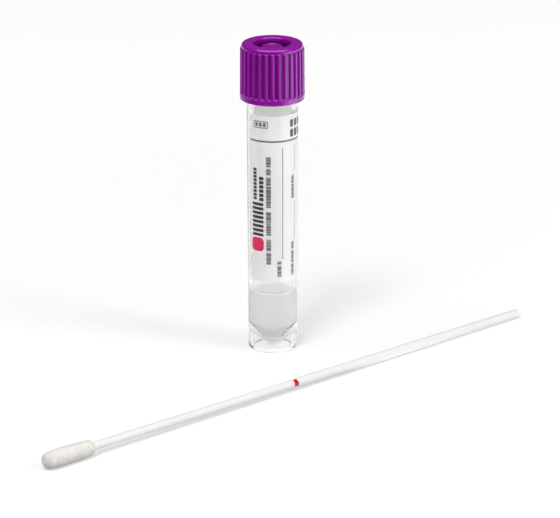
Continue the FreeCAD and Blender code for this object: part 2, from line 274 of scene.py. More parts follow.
def rounded(corners):
    """A profile through corners, as an array of (radius, height).

    Each corner is (radius, height, round, spacing), of which the last two may be left out. A
    corner with a round becomes an arc of that radius, tangent to both its sides. The straight
    stretch after a corner is divided evenly into pieces no longer than its spacing, with a short
    piece at both ends, which keeps the shading of the stretch flat.
    """
    corners = [tuple(corner) + (0.0, STRETCH)[len(corner) - 2:] for corner in corners]
    points = [np.array(corner[:2], float) for corner in corners]
    runs, leave = [], points[0]
    for index in range(1, len(corners)):
        here, fillet = points[index], corners[index][2]
        arrive, arc, depart = here, None, here
        if fillet:
            back = points[index - 1] - here
            ahead = points[index + 1] - here
            back, ahead = back / np.linalg.norm(back), ahead / np.linalg.norm(ahead)
            half_opening = math.acos(np.clip(back @ ahead, -1, 1)) / 2
            reach = fillet / math.tan(half_opening)
            arrive, depart = here + back * reach, here + ahead * reach
            bisector = (back + ahead) / np.linalg.norm(back + ahead)
            centre = here + bisector * fillet / math.sin(half_opening)
            swing = math.pi - 2 * half_opening
            turn = np.linspace(0, swing, max(4, int(fillet * swing / ARC_PIECE)) + 1)[:-1, None]
            arc = centre + (np.sin(swing - turn) * (arrive - centre)
                            + np.sin(turn) * (depart - centre)) / math.sin(swing)
        gap = np.linalg.norm(arrive - leave)
        if gap > 1e-4:
            steps = np.arange(0, 1, 1 / max(1, math.ceil(gap / corners[index - 1][3])))
            if gap > 4 * EDGE:
                steps = np.unique(np.append(steps, (EDGE / gap, 1 - EDGE / gap)))
            runs.append(leave + (arrive - leave) * steps[:, None])
        if arc is not None:
            runs.append(arc)
        leave = depart
    runs.append(leave[None])
    return np.concatenate(runs)


def lathe(profile, angles, relief=None):
    """Vertices and faces of a closed surface turned about Z.

    The vertex at profile point i and direction j lies at radius r_i + relief_ij and height z_i.
    The profile starts and ends on the axis, where all directions share one vertex, and runs
    with the solid on its left, so that the faces point outwards.
    """
    ring = profile[1:-1]
    rows, columns = len(ring), len(angles)
    radius = np.repeat(ring[:, :1], columns, axis=1)
    height = np.repeat(ring[:, 1:], columns, axis=1)
    if relief is not None:
        radius = radius + relief(radius, height, angles[None, :])
    grid = np.stack([radius * np.cos(angles), radius * np.sin(angles), height], axis=-1)
    poles = np.array([[0, 0, profile[0, 1]], [0, 0, profile[-1, 1]]])
    vertices = np.concatenate([grid.reshape(-1, 3), poles])
    row = np.arange(rows - 1)[:, None] * columns
    column = np.arange(columns)
    following = (column + 1) % columns
    quads = np.stack([row + column, row + following, row + columns + following,
                      row + columns + column], axis=-1).reshape(-1, 4)
    start, end, last_row = rows * columns, rows * columns + 1, (rows - 1) * columns
    start_fan = np.stack([np.full(columns, start), following, column], axis=-1)
    end_fan = np.stack([np.full(columns, end), last_row + column, last_row + following], axis=-1)
    return vertices, quads.tolist() + start_fan.tolist() + end_fan.tolist()


def new_piece(name, vertices, faces, body, node, sharp=38.0):
    """A smooth-shaded mesh object that rides on a body and stands for a node of the model."""
    mesh = bpy.data.meshes.new(name)
    mesh.from_pydata(vertices * MM, [], faces)
    mesh.polygons.foreach_set("use_smooth", np.ones(len(mesh.polygons), bool))
    mesh.set_sharp_from_angle(angle=math.radians(sharp))
    piece = bpy.data.objects.new(name, mesh)
    bpy.context.scene.collection.objects.link(piece)
    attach(piece, body)
    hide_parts(node)
    return piece


def even_angles(count):
    """Directions evenly round the axis."""
    return np.arange(count) * 2 * math.pi / count


def soft_step(value):
    """0 below 0, 1 above 1, and an S-curve between."""
    value = np.clip(value, 0, 1)
    return value * value * (3 - 2 * value)


def ridge_height(height, angles, start, thread):
    """Height of a helical ridge over its wall.

    The middle of the ridge climbs by the pitch in each turn from the start. Across the ridge
    the height is a trapezium with softened edges, and it dies away over the run-out at both ends.
    """
    run_out = 0.12  # in turns
    flank = (thread.foot_width - thread.crest_width) / 2
    around = angles / (2 * math.pi)
    turn = np.round((height - start) / thread.pitch - around)
    along = around + np.clip(turn, 0, math.ceil(thread.turns) - 1)
    off_middle = np.abs(height - start - along * thread.pitch)
    across = soft_step((thread.foot_width / 2 - off_middle) / flank)
    ends = soft_step(along / run_out) * soft_step((thread.turns - along) / run_out)
    return across * ends * thread.depth


def ball_corner(tip, ball, slope):
    """The corner of a profile that becomes the ball end of a cone standing on its tip."""
    return ball * math.tan((math.pi / 2 - slope) / 2), tip, ball


def cone_height(tip, ball, slope, radius):
    """Height at which a ball-ended cone reaches a radius."""
    return tip + (radius - ball_corner(tip, ball, slope)[0]) / math.tan(slope)


def neck_foot(wall):
    """Height of the shoulder where the neck begins."""
    return CAP_FOOT + wall.cap_overlap


def wall_radius(wall, height):
    """Outer radius of the drafted wall at each height."""
    draft_end = neck_foot(wall) - wall.straight_wall
    up = np.clip((height - wall.draft_start) / (draft_end - wall.draft_start), 0, 1)
    return wall.foot_radius + (wall.body_radius - wall.foot_radius) * up


def chamber_radius(wall, height):
    """Inner radius of the slightly widening chamber at each height."""
    low = cone_height(wall.chamber_tip, wall.chamber_ball, wall.cone_slope, wall.floor_radius)
    up = (height - low) / (TUBE_TOP - low)
    return wall.floor_radius + (wall.mouth_radius - wall.floor_radius) * up


def swab_turn():
    """Turn of the swab from its own Z to lie along X, resting on its belly and its far end."""
    swab = settings("swab_tube_swab")
    run = SWAB_LENGTH - swab.handle_round - swab.flock_belly
    tilt = math.asin((FLOCK_RADIUS - HANDLE_RADIUS) / run)
    rise = FLOCK_RADIUS * math.cos(tilt) + swab.flock_belly * math.sin(tilt)
    along = np.array([math.cos(tilt), 0, -math.sin(tilt)])
    across = np.array([-math.sin(tilt), 0, -math.cos(tilt)])
    turn = np.stack([across, [0, 1, 0], along], axis=1)
    return turn, np.array([FLOCK_LOW[0], SWAB_ASIDE, rise])


def lay_down(vertices):
    """Points of the upright swab moved to where it lies."""
    turn, place = swab_turn()
    return vertices @ turn.T + place


# ---------------------------------------------------------------------------------------------
# Tools for materials
# ---------------------------------------------------------------------------------------------

class Nodes:
    """Short ways to add and join the nodes of one tree."""

    def __init__(self, tree):
        self.tree = tree

    def add(self, kind, **options):
        node = self.tree.nodes.new(kind)
        for key, value in options.items():
            setattr(node, key, value)
        return node

    def put(self, value, socket):
        """Link an output to a socket, or set the socket's own value."""
        if isinstance(value, bpy.types.NodeSocket):
            self.tree.links.new(value, socket)
        else:
            socket.default_value = value

    def fill(self, node, values):
        """Put values on a node's inputs by their names."""
        for key, value in values.items():
            self.put(value, node.inputs[key])
        return node.outputs

    def join(self, kind, *values, **options):
        """Add a node with values on its first inputs; gives its outputs."""
        node = self.add(kind, **options)
        for value, socket in zip(values, node.inputs):
            self.put(value, socket)
        return node.outputs

    def math(self, operation, *values, clamp=False):
        return self.join("ShaderNodeMath", *values, operation=operation, use_clamp=clamp)[0]

    def mix(self, factor, first, second):
        """The first colour where the factor is 0 and the second where it is 1."""
        node = self.add("ShaderNodeMix", data_type="RGBA")
        colours = node.inputs[6], node.inputs[7]  # the sockets before these are for numbers and vectors
        for value, socket in zip((factor, first, second), (node.inputs[0],) + colours):
            self.put(value, socket)
        return node.outputs[2]

    def ramp(self, value, low, high, to_low=0.0, to_high=1.0):
        """The range from low to high eased over to_low to to_high, and held outside it."""
        return self.join("ShaderNodeMapRange", value, low, high, to_low, to_high,
                         interpolation_type="SMOOTHSTEP")[0]

    def edge(self, place, start, end):
        """A mask that is 0 at start and 1 at end, both in millimetres, and held outside them."""
        return self.ramp(place, start * MM, end * MM)

    def band(self, place, rise, fall):
        """A mask that comes up over one edge and goes down over another."""
        return self.math("MULTIPLY", self.edge(place, *rise), self.edge(place, *fall))

    def noise(self, place, scale, detail=3.0, roughness=0.5):
        return self.fill(self.add("ShaderNodeTexNoise"), {"Vector": place, "Scale": scale, "Detail": detail,
                                                          "Roughness": roughness})[0]

    def bump(self, height, strength, distance):
        return self.fill(self.add("ShaderNodeBump"), {"Height": height, "Strength": strength,
                                                      "Distance": distance})[0]

    def group(self, tree, values):
        """Place a shader group with these values; gives its outputs."""
        return self.fill(self.add("ShaderNodeGroup", node_tree=tree), values)

    def shader(self, kind, **values):
        """A shader node with these values on its inputs."""
        return self.fill(self.add(kind), values)[0]

    def strongest(self, masks):
        """The highest of several masks at each place."""
        total = masks[0]
        for mask in masks[1:]:
            total = self.math("MAXIMUM", total, mask)
        return total

    def parts(self, vector):
        """The X, Y and Z of a vector."""
        return self.join("ShaderNodeSeparateXYZ", vector)

    def object_place(self):
        """Object coordinates, which are the model's own, in metres."""
        return self.add("ShaderNodeTexCoord").outputs["Object"]

    def reach(self):
        """Distance from the tube's axis, in metres."""
        level = self.join("ShaderNodeVectorMath", self.object_place(), (1.0, 1.0, 0.0), operation="MULTIPLY")
        return self.join("ShaderNodeVectorMath", level[0], operation="LENGTH")["Value"]


def tint(value, factor=1.0):
    """A colour, made lighter or darker by a factor, with full alpha."""
    return tuple(min(1.0, part * factor) for part in value) + (1.0,)


def new_material(name, **plain):
    """A material, its nodes and its Principled shader, whose plain sockets are set at once."""
    material = bpy.data.materials.new(name)
    material.use_nodes = True
    shader = material.node_tree.nodes["Principled BSDF"]
    for key, value in plain.items():
        shader.inputs[key.replace("_", " ")].default_value = value
    return material, Nodes(material.node_tree), shader


def new_group(name, inputs, outputs):
    """A shader group with float or vector sockets; gives its nodes, its inputs and its result."""
    group = bpy.data.node_groups.new(name, "ShaderNodeTree")
    for label, default in inputs.items():
        kind = "NodeSocketVector" if default is None else "NodeSocketFloat"
        socket = group.interface.new_socket(label, in_out="INPUT", socket_type=kind)
        if default is not None:
            socket.default_value = default
    for label, kind in outputs.items():
        group.interface.new_socket(label, in_out="OUTPUT", socket_type=kind)
    nodes = Nodes(group)
    return nodes, nodes.add("NodeGroupInput").outputs, nodes.add("NodeGroupOutput").inputs


def moulded_skin():
    """Shader group: clouding under a moulded skin as a mask, and its fine grain as a normal."""
    name = "moulded_skin"
    if name not in bpy.data.node_groups:
        nodes, given, result = new_group(
            name, {"Cloud Scale": 120.0, "Grain Scale": 900.0, "Grain Strength": 0.1},
            {"Cloud": "NodeSocketFloat", "Normal": "NodeSocketVector"})
        place = nodes.object_place()
        cloud = nodes.noise(place, given["Cloud Scale"], 4.0)
        grain = nodes.noise(place, given["Grain Scale"], 3.0, 0.6)
        nodes.put(nodes.ramp(cloud, 0.3, 0.7), result["Cloud"])
        nodes.put(nodes.bump(grain, given["Grain Strength"], 0.00002), result["Normal"])
    return bpy.data.node_groups[name]


def add_skin(nodes, cloud_scale, grain_scale, grain_strength):
    """Place the moulded skin in a material; gives its cloud mask and its normal."""
    skin = nodes.group(moulded_skin(), {"Cloud Scale": cloud_scale, "Grain Scale": grain_scale,
                                        "Grain Strength": grain_strength})
    return skin["Cloud"], skin["Normal"]


def dress(nodes, shader, tone, roughness, normal):
    """Give a shader its colour, its roughness and its normal."""
    nodes.fill(shader, {"Base Color": tone, "Roughness": roughness, "Normal": normal})


def printed_field():
    """Shader group: a rounded rectangle as a mask.

    The mask is 1 where the distance to a rectangle shrunk by the round is under the round.
    """
    name = "printed_field"
    if name not in bpy.data.node_groups:
        nodes, given, result = new_group(
            name, {"Across": 0.0, "Up": 0.0, "Middle Across": 0.0, "Middle Up": 0.0,
                   "Half Width": 1.0, "Half Height": 1.0, "Round": 0.05},
            {"Mask": "NodeSocketFloat"})
        softness = 0.06  # millimetres over which the ink's edge fades
        outside = []
        for place, middle, half in (("Across", "Middle Across", "Half Width"),
                                    ("Up", "Middle Up", "Half Height")):
            off = nodes.math("ABSOLUTE", nodes.math("SUBTRACT", given[place], given[middle]))
            inner = nodes.math("SUBTRACT", given[half], given["Round"])
            outside.append(nodes.math("MAXIMUM", nodes.math("SUBTRACT", off, inner), 0.0))
        squares = [nodes.math("MULTIPLY", side, side) for side in outside]
        distance = nodes.math("SQRT", nodes.math("ADD", *squares))
        edge = nodes.math("SUBTRACT", given["Round"], distance)
        nodes.put(nodes.math("MULTIPLY_ADD", edge, 1 / softness, 0.5, clamp=True), result["Mask"])
    return bpy.data.node_groups[name]


def printed_words():
    """Shader group: small print as a mask of dashes set in rows.

    The rows divide the field's width. In a row, noise along it that differs from row to row is
    cut into dashes of word length, finer noise breaks the dashes into strokes, and noise of
    another scale makes some strokes taller.
    """
    name = "printed_words"
    if name not in bpy.data.node_groups:
        nodes, given, result = new_group(
            name, {"Across": 0.0, "Up": 0.0, "Left": 0.0, "Row Pitch": ROW_PITCH, "Weight": 0.95},
            {"Mask": "NodeSocketFloat"})
        from_left = nodes.math("SUBTRACT", given["Across"], given["Left"])
        rows = nodes.math("DIVIDE", from_left, given["Row Pitch"])
        in_row = nodes.math("ABSOLUTE", nodes.math("SUBTRACT", nodes.math("FRACT", rows), 0.5))
        row_shift = nodes.math("MULTIPLY", nodes.math("FLOOR", rows), 7.3)
        place = nodes.join("ShaderNodeCombineXYZ", given["Up"], row_shift)[0]
        tall = nodes.math("MULTIPLY", nodes.noise(place, 1.9, 0.0), 0.3)
        line = nodes.ramp(nodes.math("SUBTRACT", in_row, tall), 0.27, 0.20)
        words = nodes.ramp(nodes.noise(place, 0.55, 0.0), 0.36, 0.40)
        strokes = nodes.ramp(nodes.noise(place, 3.6, 1.0), 0.34, 0.50)
        ink = nodes.math("MULTIPLY", nodes.math("MULTIPLY", line, words), strokes)
        nodes.put(nodes.math("MULTIPLY", ink, given["Weight"]), result["Mask"])
    return bpy.data.node_groups[name]


# ---------------------------------------------------------------------------------------------
# Materials
# ---------------------------------------------------------------------------------------------

def natural_polypropylene(wall):
    """Natural polypropylene: lets light through, hazy, with a soft moulded skin."""
    material, nodes, shader = new_material("natural_polypropylene", IOR=1.24,
                                           Transmission_Weight=wall.clarity)
    cloud, normal = add_skin(nodes, 90.0, 700.0, 0.03)
    tone = nodes.mix(cloud, tint(wall.plastic, 0.98), tint(wall.plastic))
    dress(nodes, shader, tone, nodes.ramp(cloud, 0.0, 1.0, 0.12, 0.17), normal)
    return material


def cap_plastic(cap):
    """Glossy coloured plastic with slight clouding of its pigment.

    Painted shade makes its colour darker in the grooves between the ribs, round the shoulder and down in the
    well.
    """
    material, nodes, shader = new_material("cap_plastic", IOR=1.5)
    cloud, normal = add_skin(nodes, 130.0, 1100.0, 0.15)
    reach, height = nodes.reach(), nodes.parts(nodes.object_place())[2]
    groove, low, high = CAP_RADIUS - cap.rib_height, CAP_FOOT + cap.band, CAP_TOP - cap.shoulder
    grip = nodes.band(height, (low, low + 0.6), (high + 0.6, high - 0.6))
    # painted shade on the floors of the grooves between the ribs
    groove_shade_mask = nodes.math("MULTIPLY", grip, nodes.edge(reach, groove + 0.14, groove + 0.02))
    # painted shade round the shoulder above the ribs
    shoulder = nodes.band(height, (high + 0.2, high + 0.5), (CAP_TOP - 0.2, CAP_TOP - 0.8))
    # painted shade down in the well, round the boss
    in_well = nodes.band(reach, (cap.boss_radius + 0.02, cap.boss_radius + 0.22),
                         (cap.well_radius + 0.2, cap.well_radius - 0.1))
    sunk = nodes.math("MULTIPLY", in_well, nodes.edge(height, CAP_TOP - 0.5, CAP_TOP - 2.2))
    tone = nodes.mix(cloud, tint(cap.plastic, 0.94), tint(cap.plastic))
    # each mask paints its shade by darkening the colour
    for mask, deeper in ((groove_shade_mask, cap.painted_groove_shade), (shoulder, cap.painted_shoulder_shade), (sunk, cap.painted_well_shade)):
        tone = nodes.mix(mask, tone, tint(cap.plastic, deeper))
    dress(nodes, shader, tone, nodes.ramp(cloud, 0.0, 1.0, 0.15, 0.20), normal)
    return material


def ring_rubber():
    """Soft white rubber with a dusty skin."""
    material, nodes, shader = new_material("ring_rubber")
    cloud, normal = add_skin(nodes, 200.0, 1500.0, 0.3)
    tone = nodes.mix(cloud, tint((0.70, 0.70, 0.68)), tint((0.78, 0.78, 0.76)))
    dress(nodes, shader, tone, nodes.ramp(cloud, 0.0, 1.0, 0.55, 0.7), normal)
    return material


def watery_liquid(medium):
    """Clear liquid, its tone drifting very slightly, its edge nearly unseen where it wets the wall."""
    material, nodes, shader = new_material("watery_liquid", Roughness=0.0, IOR=1.17,
                                           Transmission_Weight=1.0)
    drift = nodes.noise(nodes.object_place(), 150.0, 2.0)
    height = nodes.parts(nodes.object_place())[2]
    contact = nodes.edge(height, medium.level - 0.05, medium.level + 0.1)
    nodes.fill(shader, {"Base Color": nodes.mix(drift, tint(medium.liquid, 0.985), tint(medium.liquid)),
                        "Alpha": nodes.math("MULTIPLY_ADD", contact, -0.85, 1.0)})
    return material


def shaft_plastic(swab):
    """White translucent plastic, with the red mark printed round the breakpoint."""
    material, nodes, shader = new_material("shaft_plastic", IOR=1.5, Transmission_Weight=0.2)
    cloud, normal = add_skin(nodes, 160.0, 1200.0, 0.10)
    along = nodes.parts(nodes.object_place())[0]
    middle, half = FLOCK_LOW[0] + swab.notch_place, swab.notch_width / 2
    off = nodes.math("ABSOLUTE", nodes.math("SUBTRACT", along, middle * MM))
    plain = nodes.mix(cloud, tint(swab.plastic, 0.98), tint(swab.plastic))
    tone = nodes.mix(nodes.edge(off, half + 0.08, half), plain, tint(swab.mark))
    dress(nodes, shader, tone, nodes.ramp(cloud, 0.0, 1.0, 0.20, 0.26), normal)
    return material


def flock_fibre(swab):
    """Fine pale fibre, slightly uneven in tone from tuft to tuft."""
    material, nodes, shader = new_material("flock_fibre", Sheen_Weight=0.35, Sheen_Roughness=0.5,
                                           Subsurface_Weight=0.6, Subsurface_Radius=(1.0, 1.0, 1.0),
                                           Subsurface_Scale=0.003)
    place = nodes.object_place()
    tufts = nodes.noise(place, 900.0, 3.0)
    patches = nodes.noise(place, 260.0, 2.0)
    uneven = nodes.math("MULTIPLY_ADD", tufts, 0.6, nodes.math("MULTIPLY", patches, 0.4))
    tone = nodes.mix(nodes.ramp(uneven, 0.35, 0.65), tint(swab.fibre, 0.93), tint(swab.fibre, 1.05))
    nodes.fill(shader, {"Base Color": tone, "Roughness": nodes.ramp(tufts, 0.3, 0.7, 0.85, 0.97)})
    return material


# The label's print, in millimetres. Widths run from the label's first edge and heights from its foot.
LETTER_ROWS = {
    # left, right, low, high, blocks, gap between them, along
    "title_first_row": (1.57, 2.70, 21.5, 29.8, 9, 0.20, "up"),
    "title_second_row": (3.40, 4.65, 21.3, 27.7, 6, 0.22, "up"),
    "title_name": (1.22, 4.60, 12.0, 20.8, 8, 0.38, "up"),
    "code_upper": (11.85, 20.2, 40.4, 42.3, 6, 0.42, "across"),
    "code_lower": (11.85, 18.8, 37.8, 39.8, 5, 0.42, "across"),
}
THIN_LINES = {
    # left, right, low, high
    "name_line": (9.52, 9.72, 5.9, 35.4),
    "age_line": (13.56, 13.68, 28.7, 35.3),
    "number_line": (13.56, 13.68, 10.6, 20.7),
    "date_line": (17.56, 17.68, 8.4, 35.3),
    "place_line": (21.56, 21.68, 8.4, 35.3),
}
SMALL_PRINT = {
    # left, right, low, high
    "purpose": (5.15, 6.75, 4.6, 33.0),
    "name_caption": (8.00, 9.45, 1.3, 5.5),
    "number_caption": (12.15, 13.40, 1.3, 10.2),
    "age_caption": (12.15, 13.40, 21.6, 28.3),
    "date_caption": (16.15, 17.40, 1.3, 7.9),
    "place_caption": (20.15, 21.40, 1.3, 7.9),
    "notes": (25.2, 32.6, 3.0, 33.5),
}
RULE = (0.65, 33.6, 36.80, 37.16)
OUTLINE = (1.82, 5.84, 40.4, 42.25)
OUTLINED_ROW = (2.35, 5.3, 40.8, 41.85, 3, 0.3, "across")
RED_FIELD = (1.00, 4.65, 8.0, 11.6)
OUTLINE_WIDTH = 0.22
BLOCK_CORNER = 0.22
RED_CORNER = 1.1
ROW_PITCH = 1.35  # usual distance between two rows of small print


class Print:
    """Masks of printed shapes, placed by how far across and up the label they lie."""

    def __init__(self, nodes):
        self.nodes = nodes
        place = nodes.parts(nodes.add("ShaderNodeUVMap", uv_map="print").outputs[0])
        self.across, self.up = place[0], place[1]

    def field(self, left, right, low, high, corner=0.05, place=None):
        """Mask of a rounded rectangle between those edges."""
        across, up = place or (self.across, self.up)
        return self.nodes.group(printed_field(), {
            "Across": across, "Up": up, "Middle Across": (left + right) / 2, "Middle Up": (low + high) / 2,
            "Half Width": (right - left) / 2, "Half Height": (high - low) / 2, "Round": corner})[0]

    def outline(self, left, right, low, high):
        """Mask of a thin rounded frame between those edges."""
        whole = self.field(left, right, low, high, 0.2)
        hole = self.field(left + OUTLINE_WIDTH, right - OUTLINE_WIDTH, low + OUTLINE_WIDTH,
                          high - OUTLINE_WIDTH, 0.1)
        return self.nodes.math("SUBTRACT", whole, hole, clamp=True)

    def letter_row(self, left, right, low, high, letters, gap, along):
        """Mask of a row of equal blocks that stand where letters would; the row repeats its first."""
        first, last, place = (low, high, self.up) if along == "up" else (left, right, self.across)
        pitch = (last - first + gap) / letters
        block_end = first + pitch - gap
        repeated = self.nodes.math("WRAP", place, first + pitch, first)
        if along == "up":
            blocks = self.field(left, right, first, block_end, BLOCK_CORNER, (self.across, repeated))
        else:
            blocks = self.field(first, block_end, low, high, BLOCK_CORNER, (repeated, self.up))
        return self.nodes.math("MULTIPLY", blocks, self.field(left, right, low, high))

    def small_print(self, left, right, low, high):
        """Mask of small print between those edges."""
        rows = max(1, round((right - left) / ROW_PITCH))
        words = self.nodes.group(printed_words(), {"Across": self.across, "Up": self.up, "Left": left,
                                                   "Row Pitch": (right - left) / rows})[0]
        return self.nodes.math("MULTIPLY", words, self.field(left, right, low, high))


def printed_label_film(label):
    """White film with its print: lines, small print, blocks for letters and a red field.

    Its inner side has a painted glow, an emission that stands in for the light a thin film lets through from
    outside.
    """
    material, nodes, shader = new_material("printed_label_film", IOR=1.46, Transmission_Weight=0.5,
                                           Emission_Strength=1.0)
    shapes = Print(nodes)
    dark = nodes.strongest([shapes.letter_row(*row) for row in LETTER_ROWS.values()]
                           + [shapes.field(*RULE)])
    grey = nodes.strongest([shapes.field(*line) for line in THIN_LINES.values()]
                           + [shapes.small_print(*words) for words in SMALL_PRINT.values()]
                           + [shapes.outline(*OUTLINE), shapes.letter_row(*OUTLINED_ROW)])
    red = shapes.field(*RED_FIELD, RED_CORNER)
    cloud, normal = add_skin(nodes, 70.0, 1600.0, 0.05)
    tone = nodes.mix(cloud, tint(label.paper, 0.985), tint(label.paper))
    for mask, ink in ((grey, label.grey_ink), (dark, label.ink), (red, label.red_ink)):
        tone = nodes.mix(mask, tone, tint(ink))
    # Painted glow: the inner side emits faintly, in place of the light that comes through the film.
    surface_normal = nodes.add("ShaderNodeNewGeometry").outputs["True Normal"]
    outward = nodes.join("ShaderNodeVectorMath", nodes.object_place(), surface_normal,
                         operation="DOT_PRODUCT")["Value"]
    glow = nodes.mix(nodes.edge(outward, 1.0, -1.0), tint((0.0, 0.0, 0.0)), tint(label.glow))
    nodes.put(glow, shader.inputs["Emission Color"])
    dress(nodes, shader, tone, nodes.ramp(dark, 0.0, 1.0, 0.42, 0.34), normal)
    return material


# How bright the surroundings are, as a strength of white.
SHADOW_SHARE = 0.56  # the share of the floor's brightness that shadows can take away
FLOOR_NEAR, FLOOR_FAR = 0.91, 1.04  # the floor to the eye, beside the tube and far from it
WORLD_LEVEL, MIRRORED_LEVEL = 0.32, 0.09  # the air as it lights the pieces, and in their gloss


def ray_kinds(nodes):
    """Masks of the rays that see what is behind the pieces, and of reflections off their outside.

    A reflection inside a clear piece counts as one that sees what is behind it.
    """
    path = nodes.add("ShaderNodeLightPath").outputs
    inside = nodes.math("MINIMUM", path["Transmission Depth"], 1.0)
    direct = nodes.math("MAXIMUM", path["Is Camera Ray"], path["Is Transmission Ray"])
    seen = nodes.math("MAXIMUM", direct, nodes.math("MULTIPLY", path["Is Glossy Ray"], inside))
    return seen, nodes.math("SUBTRACT", path["Is Glossy Ray"], inside, clamp=True)


def floor_in_gloss(nodes, stage, distance):
    """How bright the floor is in gloss: by the direction from the tube, and nearly white close to it.

    The turn is 0 from the tube towards the camera and grows to the camera's right, in radians.
    """
    place = nodes.parts(nodes.object_place())
    cosine, sine = math.cos(stage.heading), math.sin(stage.heading)
    away = nodes.math("MULTIPLY_ADD", place[0], -sine, nodes.math("MULTIPLY", place[1], cosine))
    right = nodes.math("MULTIPLY_ADD", place[0], cosine, nodes.math("MULTIPLY", place[1], sine))
    turn = nodes.math("ARCTAN2", right, nodes.math("MULTIPLY", away, -1.0))
    far_right = nodes.ramp(turn, 1.35, 1.95, 3.3, 1.4)
    right_side = nodes.math("MULTIPLY", nodes.ramp(turn, 0.45, 1.22), far_right)
    left_side = nodes.ramp(turn, -1.2, -2.3, 0.0, 0.9)
    near = nodes.ramp(distance, 0.19, 0.17, 0.0, 0.9)
    return nodes.strongest([left_side, right_side, near])


def stage_floor(stage):
    """Pale floor: a plain diffuse surface for light, and near white with its shadows to the eye."""
    material = bpy.data.materials.new("stage_floor")
    material.use_nodes = True
    material.node_tree.nodes.clear()
    nodes = Nodes(material.node_tree)
    distance = nodes.reach()
    shaded = nodes.shader("ShaderNodeBsdfDiffuse", Color=tint((SHADOW_SHARE,) * 3))
    glow = nodes.shader("ShaderNodeEmission", Strength=nodes.ramp(
        distance, 0.03, 0.35, FLOOR_NEAR - SHADOW_SHARE, FLOOR_FAR - SHADOW_SHARE))
    seen = nodes.join("ShaderNodeAddShader", shaded, glow)[0]
    mirrored = nodes.shader("ShaderNodeEmission", Strength=floor_in_gloss(nodes, stage, distance))
    lit = nodes.shader("ShaderNodeBsdfDiffuse", Color=tint(stage.floor))
    seen_mask, mirrored_mask = ray_kinds(nodes)
    lit = nodes.join("ShaderNodeMixShader", mirrored_mask, lit, mirrored)[0]
    lit = nodes.join("ShaderNodeMixShader", seen_mask, lit, seen)[0]
    nodes.put(lit, nodes.add("ShaderNodeOutputMaterial").inputs[0])
    return material


# ---------------------------------------------------------------------------------------------
# Pieces
# ---------------------------------------------------------------------------------------------

def build_wall():
    """The tube's wall, cone, skirt and threaded neck, turned from one closed profile."""
    wall, thread = settings("swab_tube_wall"), settings("swab_tube_thread")
    neck = neck_foot(wall)
    thread_start = neck + thread.neck_lead + thread.pitch / 2
    cone = wall.cone_tip, wall.cone_ball, wall.cone_slope
    chamber = wall.chamber_tip, wall.chamber_ball, wall.cone_slope
    plain, fine = 2.0, 0.08  # spacing on the plain walls and on the thread
    profile = rounded((
        (0, wall.cone_tip),
        ball_corner(*cone) + (0.8,),
        (wall.skirt_bore, cone_height(*cone, wall.skirt_bore), 0.25),
        (wall.skirt_bore, 0, 0.15),
        (wall.foot_radius, 0, wall.foot_edge),
        (wall.foot_radius, wall.draft_start, 0, plain),
        (wall.body_radius, neck - wall.straight_wall, 0, plain),
        (wall.body_radius, neck - (wall.body_radius - wall.neck_radius), 0.15),
        (wall.neck_radius, neck, 0.2, fine),
        (wall.neck_radius, TUBE_TOP, wall.lip_round),
        (wall.mouth_radius, TUBE_TOP, 0.12, plain),
        (wall.floor_radius, cone_height(*chamber, wall.floor_radius), 0.5, 0.8),
        ball_corner(*chamber),
        (0, wall.chamber_tip),
    ))

    def relief(radius, height, angles):
        outside = radius > (wall.neck_radius + wall.mouth_radius) / 2
        return np.where(outside, ridge_height(height, angles, thread_start, thread), 0)

    vertices, faces = lathe(profile, even_angles(192), relief)
    piece = new_piece("tube_wall", vertices, faces, "base", "tube")
    piece.data.materials.append(natural_polypropylene(wall))


def rib_angles(cap):
    """Directions round the cap: close together on the flanks of each rib, wide apart between."""
    half = cap.rib_width / 2
    flank = half + np.array([-0.30, -0.20, -0.12, -0.06, -0.01, 0.03, 0.07, 0.20])
    pitch = 2 * math.pi * CAP_RADIUS / cap.rib_count
    places = np.concatenate([-flank[::-1], [0], flank, [pitch / 2]])
    ribs = np.arange(cap.rib_count)[:, None] * 2 * math.pi / cap.rib_count
    return np.sort((ribs + places / CAP_RADIUS).ravel() % (2 * math.pi))


def rib_relief(cap, radius, height, angles):
    """How far the ribs stand over the grip's grooves.

    Across, a rib is 1 minus a power of the distance from its middle, all to a power below 1,
    which gives a broad top with steep soft flanks. Upwards it runs from the band, narrows with
    the taper and rolls off over its last stretch.
    """
    roll, fillet, breadth, bulge = 0.4, 0.04, 2.5, 0.6
    foot, top = CAP_FOOT + cap.band, CAP_TOP - cap.shoulder
    crest = CAP_RADIUS - cap.taper * (height - foot) / (top - foot)
    past = np.clip((height - top + roll) / roll, 0, 1)
    crest = crest - cap.rib_height * (1 - np.sqrt(1 - past ** 2))
    beside = (angles * cap.rib_count / (2 * math.pi) + 0.5) % 1 - 0.5
    beside = np.abs(beside) * 2 * math.pi * CAP_RADIUS / cap.rib_count
    across = np.clip(1 - (beside / (cap.rib_width / 2 + fillet)) ** breadth, 0, 1) ** bulge
    on_grip = (height > foot) & (height < top) & (radius > CAP_RADIUS - 2 * cap.rib_height)
    return np.where(on_grip, across * np.clip(crest - radius, 0, None), 0)


